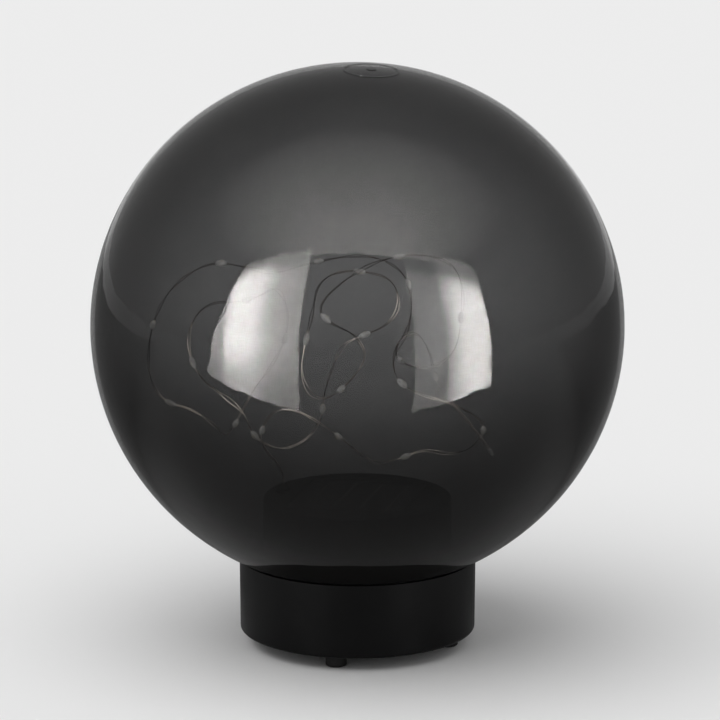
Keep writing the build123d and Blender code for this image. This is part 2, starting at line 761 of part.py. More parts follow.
def drop_places(path):
    """Frames along the wire, one for each light."""
    frames = []
    for k in range(led_count):
        share = (led_first + k * led_spacing) / path.length
        frames.append(Plane(origin=path.position_at(share), z_dir=path.tangent_at(share)))
    return frames


def make_led_chips(frames):
    lift = string_radius + fit_gap + led_size[2] / 2
    return [frame * Pos(lift, 0, 0) * Box(led_size[2], led_size[1], led_size[0]) for frame in frames]


def make_led_drops(frames, chips, wire_room):
    outline = EllipticalCenterArc((0, 0), drop_radius, drop_length / 2, start_angle=-90, arc_size=180)
    bead = revolve(make_face(Plane.XZ * Curve([outline, Line(outline @ 1, outline @ 0)])), Axis.Z)
    drops = []
    for frame, chip in zip(frames, chips):
        for turn in bead_turns:
            drop = frame * Rot(0, 0, turn) * bead - wire_room
            if len(drop.solids()) == 1:
                break
        drops.append(drop - chip)
    return drops


def make_string_tip(path):
    bead = ring(tip_radius, 0, 0, tip_length)
    bead = fillet(bead.edges().group_by(Axis.Z)[-1], tip_fillet)
    return Plane(origin=path @ 1, z_dir=path % 1) * bead


# ---- build and write ----
def write(name, shape):
    solids = ShapeList(shape).solids() if isinstance(shape, list) else shape.solids()
    export_step(solids[0] if len(solids) == 1 else Compound(children=list(solids)), f"parts/{name}.step")


os.makedirs("parts", exist_ok=True)
solar_cells, ribbons = make_solar_cells(), make_cell_ribbons()
string_path, string_radii = bent_path(string_points())
string_wire = tube(string_path, string_radius)
report_tube("light string", string_wire, string_path, string_radii, string_radius)
report_gap("light string", string_path, string_radius)
drop_frames = drop_places(string_path)
chips = make_led_chips(drop_frames)
head_low = plate_bottom + screw_head_height
parts = {
    "globe": make_globe(),
    "globe_seal": make_globe_seal(),
    "base_housing": make_base_housing(),
    "drum": make_drum(),
    "panel_tape": make_panel_tape(),
    "panel_board": make_panel_board(),
    "solar_cells": solar_cells,
    "cell_ribbons": ribbons,
    "panel_resin": make_panel_resin(solar_cells, ribbons),
    "bottom_plate": make_bottom_plate(),
    "battery_cover": make_battery_cover(),
    "cover_seal": make_cover_seal(),
    "battery_cell": make_battery_cell(),
    "cell_contact_plus": make_cell_contact(1),
    "cell_contact_minus": make_cell_contact(-1),
    "cell_spring": make_cell_spring(),
    "switch_body": make_switch_body(),
    "switch_knob": make_switch_knob(),
    "switch_lead_red": make_switch_lead(1),
    "switch_lead_black": make_switch_lead(-1),
    "circuit_board": make_circuit_board(),
    "control_chip": make_control_chip(),
    "boost_coil": make_boost_coil(),
    "coil_winding": make_coil_winding(),
    "capacitor": make_capacitor(),
    "resistors": make_resistors(),
    "panel_socket": make_socket(panel_socket_place),
    "panel_plug": make_plug(panel_socket_place),
    "string_socket": make_socket(string_socket_place),
    "string_plug": make_plug(string_socket_place),
    "panel_lead_red": make_panel_lead(1),
    "panel_lead_black": make_panel_lead(-1),
    "string_gland": make_string_gland(),
    "string_lead": make_string_lead(),
    "string_wire": string_wire,
    "led_chips": chips,
    "led_drops": make_led_drops(drop_frames, chips, tube(string_path, string_radius + wire_gap)),
    "string_tip": make_string_tip(string_path),
    "plate_screws": [
        screw(place, head_low, screw_length, screw_radius, screw_head_radius, True)
        for place in around(plate_screw_count, plate_screw_circle, plate_screw_heading)
    ],
    "drum_screws": [
        screw(place, shelf_bottom, screw_length, screw_radius, screw_head_radius, True)
        for place in around(drum_screw_count, drum_boss_circle, drum_screw_heading)
    ],
    "board_screws": [
        screw((side * board_screw_place, 0), board_top, board_screw_length, board_screw_radius,
              board_screw_head, False)
        for side in (-1, 1)
    ],
}
for side, place in zip(foot_sides, around(len(foot_sides), foot_circle, 0)):
    parts[f"foot_{side}"] = make_foot(place)
for name, shape in parts.items():
    write(name, shape)
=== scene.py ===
import math
import random

import bmesh
import bpy
from mathutils import Matrix, Vector


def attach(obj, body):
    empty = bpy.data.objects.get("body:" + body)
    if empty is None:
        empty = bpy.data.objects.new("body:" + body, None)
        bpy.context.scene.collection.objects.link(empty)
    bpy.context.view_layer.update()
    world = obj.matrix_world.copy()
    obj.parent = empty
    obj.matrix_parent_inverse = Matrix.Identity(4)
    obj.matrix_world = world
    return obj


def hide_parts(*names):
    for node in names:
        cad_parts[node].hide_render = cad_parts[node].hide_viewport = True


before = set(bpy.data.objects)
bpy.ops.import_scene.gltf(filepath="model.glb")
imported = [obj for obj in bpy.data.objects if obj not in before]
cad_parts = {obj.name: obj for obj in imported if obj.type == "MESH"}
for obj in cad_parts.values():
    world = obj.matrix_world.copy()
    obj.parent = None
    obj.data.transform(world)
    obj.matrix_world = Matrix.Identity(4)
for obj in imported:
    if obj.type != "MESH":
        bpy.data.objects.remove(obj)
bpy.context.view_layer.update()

globeCentreZ = 0.15281      # height of the globe's middle
scene = bpy.context.scene


# camera: a long lens, a little above the globe's middle
camera = {
    "heading": 13.15,       # degrees round the globe
    "height": 12.09,        # degrees above its middle
    "tiltDown": 12.58,
    "distance": 1.875,
    "sideStep": 0.001175,
    "lens": 200.0,
    "sensor": 36.0,
    "near": 0.05,
    "far": 60,
}


def aimedFrom(heading, height, distance):
    # a place at a heading and height round the globe's middle
    a, e = math.radians(heading), math.radians(height)
    away = Vector((math.sin(a) * math.cos(e), -math.cos(a) * math.cos(e), math.sin(e)))
    return Vector((0, 0, globeCentreZ)) + away * distance


def addCamera():
    data = bpy.data.cameras.new("photoCamera")
    data.lens, data.sensor_width = camera["lens"], camera["sensor"]
    data.clip_start, data.clip_end = camera["near"], camera["far"]
    view = bpy.data.objects.new("photoCamera", data)
    a = math.radians(camera["heading"])
    across = Vector((math.cos(a), math.sin(a), 0))
    view.location = aimedFrom(camera["heading"], camera["height"], camera["distance"])
    view.location += across * camera["sideStep"]
    view.rotation_euler = (math.radians(90 - camera["tiltDown"]), 0, a)
    scene.collection.objects.link(view)
    scene.camera = view


addCamera()
print("camera placed")


# light string: a twin wire with a clear drop every 52 mm
lightString = {
    "length": 1.3349,       # along the wire
    "width": 0.0012,        # both strands together
    "turned": 13.15,        # degrees about Z
    "strandRadius": 0.00018,
    "strandApart": 0.00028,     # each strand's centre from the route
    "wander": 0.00032,      # how far the strands drift apart and together
    "wanderRate": 173,      # radians a metre
    "layLength": 0.047,     # one slow twist of the pair
    "layWobble": 0.8,       # radians by which the twist is uneven
    "layRate": 61,          # radians a metre
    "step": 0.0016,         # between the points that the strands follow
    "splineSteps": 12,
    "drops": 25,
    "firstDrop": 0.036,
    "dropEvery": 0.052,
}
lightDrop = {
    "length": 0.0067,
    "radius": 0.00168,
    "seed": 7,
    "longer": (0.86, 1.0),      # how much the drops differ
    "fatter": (0.88, 1.0),
    "leanBy": 0.12,
    "lean": 0.3,
    "fill": 0.98,
    "drawnOut": 0.16,
    "belly": 0.10,              # on the chip's side
    "sides": 20,
    "rings": 14,
}
lightChip = {
    "size": (0.0005, 0.0008, 0.0016),
    "lift": 0.00085,
    "edge": 0.00008,
    "edgeSteps": 2,
}
sealedTip = {
    "radius": 0.0013,
    "length": 0.0050,
    "taper": 0.25,
    "reach": 0.42,
    "sides": 20,
    "rings": 12,
}
stringStart = ((-0.035998, 0, 0.0747), (-0.035998, 0, 0.0819))
stringRoute = (     # metres across, deep and up from the globe's middle
    (-0.044, 0, -0.060), (-0.046, -0.006, -0.049), (-0.039, -0.014, -0.037),
    (-0.029, -0.018, -0.036), (-0.019, -0.016, -0.042), (-0.009, -0.008, -0.051),
    (0, 0.004, -0.062), (0.009, 0.016, -0.071), (0.021, 0.024, -0.070), (0.032, 0.027, -0.066),
    (0.044, 0.022, -0.068), (0.055, 0.012, -0.062), (0.061, 0.004, -0.050),
    (0.054, -0.004, -0.041), (0.041, -0.010, -0.034), (0.028, -0.012, -0.030),
    (0.018, -0.010, -0.024), (0.016, -0.006, -0.013), (0.023, -0.002, -0.004),
    (0.026, 0.004, 0.008), (0.024, 0.012, 0.020), (0.015, 0.020, 0.027), (0.001, 0.026, 0.029),
    (-0.014, 0.024, 0.027), (-0.026, 0.016, 0.026), (-0.038, 0.008, 0.023), (-0.052, 0, 0.028),
    (-0.067, -0.006, 0.032), (-0.080, -0.008, 0.026), (-0.090, -0.004, 0.015),
    (-0.096, 0.004, 0.001), (-0.099, 0.012, -0.014), (-0.099, 0.020, -0.031),
    (-0.092, 0.026, -0.043), (-0.079, 0.026, -0.046), (-0.068, 0.018, -0.052),
    (-0.062, 0.006, -0.056), (-0.056, -0.008, -0.043), (-0.049, -0.014, -0.028),
    (-0.040, -0.016, -0.016), (-0.033, -0.014, -0.003), (-0.032, -0.008, 0.011),
    (-0.038, 0.002, 0.019), (-0.045, 0.012, 0.012), (-0.056, 0.020, 0.007), (-0.070, 0.026, 0.006),
    (-0.079, 0.028, -0.003), (-0.081, 0.024, -0.016), (-0.075, 0.016, -0.029),
    (-0.063, 0.006, -0.035), (-0.053, 0, -0.042), (-0.049, 0.006, -0.056), (-0.036, 0.014, -0.064),
    (-0.024, 0.016, -0.059), (-0.017, 0.010, -0.048), (-0.016, 0.002, -0.034),
    (-0.012, -0.006, -0.019), (-0.007, -0.012, -0.006), (0.003, -0.016, -0.001),
    (0.014, -0.018, 0.004), (0.020, -0.016, 0.013), (0.017, -0.010, 0.024), (0.004, -0.004, 0.027),
    (-0.010, 0, 0.026), (-0.019, 0.004, 0.019), (-0.021, 0.008, 0.005), (-0.025, 0.010, -0.011),
    (-0.027, 0.006, -0.024), (-0.022, -0.002, -0.034), (-0.013, -0.014, -0.032),
    (-0.003, -0.024, -0.021), (0.005, -0.030, -0.008), (-0.001, -0.032, 0.003),
    (-0.011, -0.032, 0.007), (-0.018, -0.030, 0.013), (-0.015, -0.026, 0.019),
    (-0.005, -0.022, 0.027), (0.007, -0.020, 0.034), (0.020, -0.022, 0.038),
    (0.033, -0.026, 0.039), (0.045, -0.030, 0.035), (0.049, -0.030, 0.023), (0.048, -0.026, 0.008),
    (0.046, -0.020, -0.007), (0.038, -0.016, -0.016), (0.026, -0.020, -0.016),
    (0.017, -0.028, -0.009), (0.019, -0.036, 0.002), (0.028, -0.043, 0.007),
    (0.034, -0.043, -0.005), (0.036, -0.036, -0.020), (0.045, -0.028, -0.032),
    (0.055, -0.022, -0.045), (0.062, -0.018, -0.056),
)


def showPiece(name, mesh, body, *finishes):
    # a mesh with its place in its points, riding a body
    piece = bpy.data.objects.new(name, mesh)
    scene.collection.objects.link(piece)
    for finish in finishes:
        mesh.materials.append(finish)
    for face in mesh.polygons:
        face.use_smooth = True
    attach(piece, body)
    return piece


def meshOf(curve):
    # the mesh that a curve makes, without keeping the curve's object
    holder = bpy.data.objects.new("scratchCurve", curve)
    scene.collection.objects.link(holder)
    graph = bpy.context.evaluated_depsgraph_get()
    made = bpy.data.meshes.new_from_object(holder.evaluated_get(graph))
    bpy.data.objects.remove(holder)
    return made


def smoothLine(name, points):
    # one open NURBS spline through its first and last points
    curve = bpy.data.curves.new(name, "CURVE")
    curve.dimensions = "3D"
    spline = curve.splines.new("NURBS")
    spline.points.add(len(points) - 1)
    for spot, place in zip(spline.points, points):
        spot.co = (*place, 1)
    spline.order_u = 3
    spline.use_endpoint_u = True
    spline.resolution_u = lightString["splineSteps"]
    return curve


def evenly(points, step):
    # points a steady step apart along a line of points
    out, carried = [points[0]], 0.0
    for a, b in zip(points, points[1:]):
        run = (b - a).length
        reach = step - carried
        while reach <= run:
            out.append(a.lerp(b, reach / run))
            reach += step
        carried = (carried + run) % step
    return out


def stringLine():
    a = math.radians(lightString["turned"])
    turn = Matrix.Rotation(a, 3, "Z")
    middle = Vector((0, 0, globeCentreZ))
    route = [turn @ Vector(p) + middle for p in stringRoute]
    curve = smoothLine("stringRoute", [Vector(p) for p in stringStart] + route)
    line = [v.co.copy() for v in meshOf(curve).vertices]
    return evenly(line, lightString["step"])


def steadyFrames(line):
    # a direction along the line and one across it at each point, without sudden turns
    frames, across = [], Vector((1, 0, 0))
    for k, place in enumerate(line):
        ahead = line[min(k + 1, len(line) - 1)] - line[max(k - 1, 0)]
        ahead.normalize()
        across = (across - ahead * across.dot(ahead)).normalized()
        frames.append((place, ahead, across.copy()))
    return frames


def strandPoints(frames, side):
    # one strand of the pair: a slow twist, and a drift apart between the drops
    s = lightString
    out = []
    for k, (place, ahead, across) in enumerate(frames):
        along = k * s["step"]
        wobble = s["layWobble"] * math.sin(along * s["layRate"])
        turn = 2 * math.pi * along / s["layLength"] + wobble
        toDrop = (along - s["firstDrop"]) / s["dropEvery"]
        free = math.sin(math.pi * (toDrop % 1)) ** 2 if along > s["firstDrop"] else 0
        reach = s["strandApart"] + s["wander"] * free * (1 + math.sin(along * s["wanderRate"]))
        away = Matrix.Rotation(turn, 3, ahead) @ across
        out.append(place + away * side * reach)
    return out


def makeStrands(frames, finish):
    curve = bpy.data.curves.new("stringStrands", "CURVE")
    curve.dimensions = "3D"
    for side in (-1, 1):
        points = strandPoints(frames, side)
        spline = curve.splines.new("POLY")
        spline.points.add(len(points) - 1)
        for spot, place in zip(spline.points, points):
            spot.co = (*place, 1)
    curve.bevel_depth = lightString["strandRadius"]
    curve.bevel_resolution = 1
    curve.use_fill_caps = True
    return showPiece("stringStrands", meshOf(curve), "base", finish)


def dropFrames(frames):
    # where the drops sit, by their share of the wire's length
    s = lightString
    spots = []
    for k in range(s["drops"]):
        share = (s["firstDrop"] + k * s["dropEvery"]) / s["length"]
        spots.append(frames[round(share * (len(frames) - 1))])
    return spots


def axesAt(place, ahead, across):
    # X across, Z along the wire
    third = ahead.cross(across)
    turn = Matrix((across, third, ahead)).transposed().to_4x4()
    return Matrix.Translation(place) @ turn


def finished(made, name, finish):
    # the piece that a bmesh makes, riding the base
    mesh = bpy.data.meshes.new(name)
    made.to_mesh(mesh)
    made.free()
    return showPiece(name, mesh, "base", finish)


def makeDrops(spots, finish):
    # each drop is drawn out along the wire, a little fatter on its chip's side
    d = lightDrop
    rng = random.Random(d["seed"])
    made = bmesh.new()
    for spot in spots:
        ball = bmesh.ops.create_uvsphere(made, u_segments=d["sides"], v_segments=d["rings"],
                                         radius=1)["verts"]
        longer, fatter = rng.uniform(*d["longer"]), rng.uniform(*d["fatter"])
        lean = rng.uniform(-d["leanBy"], d["leanBy"])
        for v in ball:
            drawn = 1 - d["drawnOut"] * abs(v.co.z) ** 3
            belly = d["belly"] * (1 - v.co.z ** 2)
            v.co.x = v.co.x * drawn + belly + lean * v.co.z * d["lean"]
            v.co.x = max(-1, min(1, v.co.x))
            v.co.y *= drawn
        wide = d["radius"] * fatter * d["fill"]
        bmesh.ops.scale(made, vec=(wide, wide, d["length"] / 2 * longer), verts=ball)
        bmesh.ops.transform(made, matrix=axesAt(*spot), verts=ball)
    return finished(made, "lightDrops", finish)


def makeChips(spots, finish):
    c = lightChip
    made = bmesh.new()
    for spot in spots:
        block = bmesh.ops.create_cube(made, size=1)["verts"]
        bmesh.ops.scale(made, vec=c["size"], verts=block)
        bmesh.ops.translate(made, vec=(c["lift"], 0, 0), verts=block)
        edges = list({e for v in block for e in v.link_edges})
        bevelled = bmesh.ops.bevel(made, geom=edges, offset=c["edge"], offset_type="OFFSET",
                                   segments=c["edgeSteps"], profile=0.5, affect="EDGES",
                                   material=-1)["verts"]
        whole = list({v for v in block if v.is_valid} | set(bevelled))
        bmesh.ops.transform(made, matrix=axesAt(*spot), verts=whole)
    return finished(made, "lightChips", finish)


def makeTip(spot, finish):
    # the sealed end: a short bead pulled to a blunt point
    t = sealedTip
    made = bmesh.new()
    ball = bmesh.ops.create_uvsphere(made, u_segments=t["sides"], v_segments=t["rings"],
                                     radius=1)["verts"]
    for v in ball:
        v.co.x *= 1 - t["taper"] * max(0, v.co.z)
        v.co.y *= 1 - t["taper"] * max(0, v.co.z)
    bmesh.ops.scale(made, vec=(t["radius"], t["radius"], t["length"] / 2), verts=ball)
    bmesh.ops.translate(made, vec=(0, 0, t["length"] * t["reach"]), verts=ball)
    bmesh.ops.transform(made, matrix=axesAt(*spot), verts=ball)
    return finished(made, "stringEnd", finish)


# finishes
def newFinish(name):
    made = bpy.data.materials.new(name)
    made.use_nodes = True
    tree = made.node_tree
    tree.nodes.clear()
    out = tree.nodes.new("ShaderNodeOutputMaterial")
    shader = tree.nodes.new("ShaderNodeBsdfPrincipled")
    tree.links.new(shader.outputs[0], out.inputs[0])
    return made, tree, shader


def setPlain(shader, **plain):
    names = {"metal": "Metallic", "specular": "Specular IOR Level", "ior": "IOR",
             "clear": "Transmission Weight", "rough": "Roughness"}
    for key, value in plain.items():
        shader.inputs[names[key]].default_value = value


def objectPlace(tree, scale=(1, 1, 1)):
    where = tree.nodes.new("ShaderNodeTexCoord")
    mapped = tree.nodes.new("ShaderNodeMapping")
    mapped.inputs["Scale"].default_value = scale
    tree.links.new(where.outputs["Object"], mapped.inputs["Vector"])
    return mapped.outputs[0]


grainRoughness = 0.55


def grain(tree, place, scale, detail):
    noise = tree.nodes.new("ShaderNodeTexNoise")
    noise.inputs["Scale"].default_value = scale
    noise.inputs["Detail"].default_value = detail
    noise.inputs["Roughness"].default_value = grainRoughness
    tree.links.new(place, noise.inputs["Vector"])
    return noise.outputs["Fac"]


def spread(tree, value, low, high, fromLow=0.3, fromHigh=0.7):
    ranged = tree.nodes.new("ShaderNodeMapRange")
    for key, amount in (("From Min", fromLow), ("From Max", fromHigh),
                        ("To Min", low), ("To Max", high)):
        ranged.inputs[key].default_value = amount
    tree.links.new(value, ranged.inputs["Value"])
    return ranged.outputs[0]


def blendColours(tree, value, first, second, fromLow=0.3, fromHigh=0.7):
    ramp = tree.nodes.new("ShaderNodeValToRGB")
    ramp.color_ramp.elements[0].position = fromLow
    ramp.color_ramp.elements[1].position = fromHigh
    ramp.color_ramp.elements[0].color = (*first, 1)
    ramp.color_ramp.elements[1].color = (*second, 1)
    tree.links.new(value, ramp.inputs[0])
    return ramp.outputs[0]


def addBump(tree, shader, height, strength, distance):
    bump = tree.nodes.new("ShaderNodeBump")
    bump.inputs["Strength"].default_value = strength
    bump.inputs["Distance"].default_value = distance
    tree.links.new(height, bump.inputs["Height"])
    tree.links.new(bump.outputs[0], shader.inputs["Normal"])


def calculate(tree, operation, first, second=None):
    node = tree.nodes.new("ShaderNodeMath")
    node.operation = operation
    for socket, value in zip(node.inputs, (first, second)):
        if isinstance(value, bpy.types.NodeSocket):
            tree.links.new(value, socket)
        elif value is not None:
            socket.default_value = value
    return node.outputs[0]


def colourFrom(tree, socket, shader):
    tree.links.new(socket, shader.inputs["Base Color"])


def roughFrom(tree, socket, shader):
    tree.links.new(socket, shader.inputs["Roughness"])


def axisOf(tree, place, axis):
    split = tree.nodes.new("ShaderNodeSeparateXYZ")
    tree.links.new(place, split.inputs[0])
    return split.outputs[axis]


def mixedColour(tree, factor, first, second):
    # second is one colour, first comes from a socket
    mix = tree.nodes.new("ShaderNodeMix")
    mix.data_type = "RGBA"
    tree.links.new(factor, mix.inputs["Factor"])
    tree.links.new(first, mix.inputs["A"])
    mix.inputs["B"].default_value = (*second, 1)
    return mix.outputs["Result"]


mouldedLook = {"cloudScale": 70, "cloudDetail": 4, "fineDetail": 2, "bump": 0.35}


def moulded(name, dark, light, rough, scale, depth, specular):
    # moulded plastic or rubber: fine grain, faint cloudiness of colour and gloss
    m = mouldedLook
    made, tree, shader = newFinish(name)
    place = objectPlace(tree)
    cloud = grain(tree, place, m["cloudScale"], m["cloudDetail"])
    colourFrom(tree, blendColours(tree, cloud, dark, light), shader)
    roughFrom(tree, spread(tree, cloud, *rough), shader)
    addBump(tree, shader, grain(tree, place, scale, m["fineDetail"]), m["bump"], depth)
    setPlain(shader, specular=specular)
    return made


drawnLook = {"scale": 900, "detail": 3, "bump": 0.2, "depth": 0.00001}


def drawnMetal(name, dark, light, rough, streak):
    d = drawnLook
    made, tree, shader = newFinish(name)
    cloud = grain(tree, objectPlace(tree, streak), d["scale"], d["detail"])
    colourFrom(tree, blendColours(tree, cloud, dark, light), shader)
    roughFrom(tree, spread(tree, cloud, *rough), shader)
    addBump(tree, shader, cloud, d["bump"], d["depth"])
    setPlain(shader, metal=1.0)
    return made


smokedGlobe = {
    "thinWall": 1.14,           # how much one wall dims light, as a power of e
    "shadedWall": 2.25,          # and near the neck, as painted shade: the wall dims more towards the bottom
    "thinFrom": 0.158,          # metres up
    "thickTo": 0.045,
    "bend": 1.13,               # how much a slanting ray straightens inside the wall
    "cloud": (16, 2),           # scale and detail
    "uneven": 0.05,
    "colour": ((0.0056, 0.0054, 0.0053), (0.0074, 0.0071, 0.0069)),
    "rough": (0.008, 0.02),
    "wave": (9, 1),
    "waveBump": (0.05, 0.0012),
    "specular": 0.08,
    "ior": 1.5,
}


def makeSmokedClear():
    # each face of the wall does half of the wall's dimming, and more on a slant
    s = smokedGlobe
    made, tree, shader = newFinish("smokedClear")
    place = objectPlace(tree)
    # painted shade: the wall dims more and more from thinFrom down towards the neck
    depth = tree.nodes.new("ShaderNodeMapRange")
    depth.interpolation_type = "SMOOTHSTEP"
    for key, amount in (("From Min", s["thickTo"]), ("From Max", s["thinFrom"]),
                        ("To Min", s["shadedWall"]), ("To Max", s["thinWall"])):
        depth.inputs[key].default_value = amount
    tree.links.new(axisOf(tree, place, "Z"), depth.inputs["Value"])
    cloud = grain(tree, place, *s["cloud"])
    wall = calculate(tree, "ADD", depth.outputs[0],
                     spread(tree, cloud, -s["uneven"], s["uneven"]))
    facing = tree.nodes.new("ShaderNodeLayerWeight")
    facing.inputs["Blend"].default_value = 0.5      # gives 1 less the slant's cosine
    upright = calculate(tree, "SUBTRACT", 1.0, facing.outputs["Facing"])
    slant = calculate(tree, "SUBTRACT", 1.0, calculate(tree, "MULTIPLY", upright, upright))
    bent = calculate(tree, "DIVIDE", slant, s["bend"] ** 2)
    inside = calculate(tree, "SQRT", calculate(tree, "SUBTRACT", 1.0, bent))
    half = calculate(tree, "DIVIDE", calculate(tree, "MULTIPLY", wall, -0.5), inside)
    let = calculate(tree, "EXPONENT", half)
    tree.links.new(calculate(tree, "SUBTRACT", 1.0, let), shader.inputs["Alpha"])
    colourFrom(tree, blendColours(tree, cloud, *s["colour"]), shader)
    roughFrom(tree, spread(tree, cloud, *s["rough"]), shader)
    addBump(tree, shader, grain(tree, place, *s["wave"]), *s["waveBump"])
    setPlain(shader, specular=s["specular"], ior=s["ior"])
    return made


stringWire = {
    "dark": (0.050, 0.040, 0.034),
    "bright": (0.85, 0.77, 0.69),
    "patch": (34, 2),           # scale and detail of the worn lengths
    "wornAndLitFrom": (0.50, 0.64),
    "lowPaintedLight": (0.16, -0.10),   # painted light: the lower lengths are made brighter
    "lowBand": (0.115, 0.165),
    "fine": (1400, 2),
    "rough": (0.24, 0.40),
    "bump": (0.3, 0.00001),
}


def makeStringWire():
    # lacquered copper: dark lengths, and lengths where the lacquer is thin and bright, with
    # painted light making the lower lengths brighter
    w = stringWire
    made, tree, shader = newFinish("wireTinned")
    place = objectPlace(tree)
    # painted light: the lengths low in the globe are made brighter
    low = spread(tree, axisOf(tree, place, "Z"), *w["lowPaintedLight"], *w["lowBand"])
    wornAndLit = calculate(tree, "ADD", grain(tree, place, *w["patch"]), low)
    fine = grain(tree, place, *w["fine"])
    colourFrom(tree, blendColours(tree, wornAndLit, w["dark"], w["bright"], *w["wornAndLitFrom"]), shader)
    roughFrom(tree, spread(tree, fine, *w["rough"]), shader)
    addBump(tree, shader, fine, *w["bump"])
    setPlain(shader, metal=1.0)
    return made


dropResin = {
    "colour": ((0.90, 0.91, 0.90), (0.95, 0.96, 0.95)),
    "swirl": (700, 2),
    "rough": (0.02, 0.10),
    "clear": (0.50, 0.78),      # the rest is milky
    "bump": (0.2, 0.00003),
    "ior": 1.5,
}


def makeDropResin():
    # cast resin, a little milky, so that it catches light
    d = dropResin
    made, tree, shader = newFinish("dropResin")
    swirl = grain(tree, objectPlace(tree), *d["swirl"])
    colourFrom(tree, blendColours(tree, swirl, *d["colour"]), shader)
    roughFrom(tree, spread(tree, swirl, *d["rough"]), shader)
    tree.links.new(spread(tree, swirl, *d["clear"]), shader.inputs["Transmission Weight"])
    addBump(tree, shader, swirl, *d["bump"])
    setPlain(shader, ior=d["ior"])
    return made


solarCell = {
    "crystal": 260,
    "blue": ((0.006, 0.010, 0.028), (0.010, 0.018, 0.045)),
    "blueFrom": (0.1, 0.8),
    "fingerScale": 238.09524,       # one finger each 1.3 mm
    "fingerEdge": (0.975, 0.992),   # the wave's crest is the finger
    "finger": (0.30, 0.31, 0.33),
    "rough": (0.32, 0.45),
    "bump": (0.3, 0.00002),
    "specular": 0.5,
}


def makeSolarSilicon():
    # dark blue cells crossed by hair-thin silver fingers
    c = solarCell
    made, tree, shader = newFinish("solarSilicon")
    place = objectPlace(tree)
    crystal = tree.nodes.new("ShaderNodeTexVoronoi")
    crystal.inputs["Scale"].default_value = c["crystal"]
    tree.links.new(place, crystal.inputs["Vector"])
    blue = blendColours(tree, crystal.outputs["Distance"], *c["blue"], *c["blueFrom"])
    fingers = tree.nodes.new("ShaderNodeTexWave")
    fingers.bands_direction = "Y"
    fingers.inputs["Scale"].default_value = c["fingerScale"]
    fingers.inputs["Distortion"].default_value = 0
    tree.links.new(place, fingers.inputs["Vector"])
    line = spread(tree, fingers.outputs["Fac"], 0, 1, *c["fingerEdge"])
    colourFrom(tree, mixedColour(tree, line, blue, c["finger"]), shader)
    roughFrom(tree, spread(tree, line, *c["rough"], 0, 1), shader)
    addBump(tree, shader, line, *c["bump"])
    setPlain(shader, specular=c["specular"])
    return made


panelResin = {
    "tint": (0.90, 0.92, 0.93),
    "brighter": 1.04,
    "swirl": (260, 2),
    "rough": (0.02, 0.06),
    "bump": (0.15, 0.00002),
    "ior": 1.49,
}


def makePanelResin():
    # clear resin: all light passes, with faint swirls in its skin
    p = panelResin
    made, tree, shader = newFinish("panelResin")
    swirl = grain(tree, objectPlace(tree), *p["swirl"])
    lighter = [min(1, c * p["brighter"]) for c in p["tint"]]
    colourFrom(tree, blendColours(tree, swirl, p["tint"], lighter), shader)
    roughFrom(tree, spread(tree, swirl, *p["rough"]), shader)
    addBump(tree, shader, swirl, *p["bump"])
    setPlain(shader, clear=1.0, ior=p["ior"])
    return made


boardGreen = {
    "trackScale": 190,
    "trackWidth": 0.06,
    "mask": ((0.012, 0.085, 0.030), (0.015, 0.100, 0.036)),
    "track": (0.030, 0.165, 0.060),
    "fine": (400, 3),
    "rough": (0.25, 0.4),
    "bump": (0.4, 0.00004),
}


def makeBoardGreen():
    # green mask over copper: tracks stand a little proud and paler
    b = boardGreen
    made, tree, shader = newFinish("boardGreen")
    place = objectPlace(tree)
    tracks = tree.nodes.new("ShaderNodeTexBrick")
    tracks.inputs["Scale"].default_value = b["trackScale"]
    tracks.inputs["Mortar Size"].default_value = b["trackWidth"]
    for key, colour in zip(("Color1", "Color2", "Mortar"), (*b["mask"], b["track"])):
        tracks.inputs[key].default_value = (*colour, 1)
    tree.links.new(place, tracks.inputs["Vector"])
    colourFrom(tree, tracks.outputs["Color"], shader)
    roughFrom(tree, spread(tree, grain(tree, place, *b["fine"]), *b["rough"]), shader)
    addBump(tree, shader, tracks.outputs["Fac"], *b["bump"])
    return made


foamTape = {
    "cells": 2600,
    "colour": ((0.55, 0.55, 0.53), (0.74, 0.74, 0.72)),
    "rough": (0.85, 0.95),
    "bump": (0.7, 0.0001),
}


def makeFoam():
    f = foamTape
    made, tree, shader = newFinish("foamTape")
    cells = tree.nodes.new("ShaderNodeTexVoronoi")
    cells.inputs["Scale"].default_value = f["cells"]
    tree.links.new(objectPlace(tree), cells.inputs["Vector"])
    far = cells.outputs["Distance"]
    colourFrom(tree, blendColours(tree, far, *f["colour"]), shader)
    roughFrom(tree, spread(tree, far, *f["rough"], 0, 1), shader)
    addBump(tree, shader, far, *f["bump"])
    return made


cellSleeve = {
    "skin": (0.03, 0.12, 0.055),
    "brighter": 1.2,
    "bare": (0.62, 0.61, 0.58),
    "fromX": -0.0270,           # the sleeve's ends
    "toX": 0.0205,
    "edge": 0.0002,
    "cloud": (220, 3),
    "rough": (0.3, 0.42),
    "bump": (0.2, 0.00005),
}


def makeCellSleeve():
    # shrink sleeve of the cell: one colour with a bare metal band at each end
    c = cellSleeve
    made, tree, shader = newFinish("cellSleeve")
    place = objectPlace(tree)
    cloud = grain(tree, place, *c["cloud"])
    lighter = [min(1, level * c["brighter"]) for level in c["skin"]]
    skin = blendColours(tree, cloud, c["skin"], lighter)
    x = axisOf(tree, place, "X")
    low = spread(tree, x, 1, 0, c["fromX"], c["fromX"] + c["edge"])
    high = spread(tree, x, 0, 1, c["toX"] - c["edge"], c["toX"])
    ends = calculate(tree, "MAXIMUM", low, high)
    colourFrom(tree, mixedColour(tree, ends, skin, c["bare"]), shader)
    tree.links.new(ends, shader.inputs["Metallic"])
    roughFrom(tree, spread(tree, cloud, *c["rough"]), shader)
    addBump(tree, shader, cloud, *c["bump"])
    return made


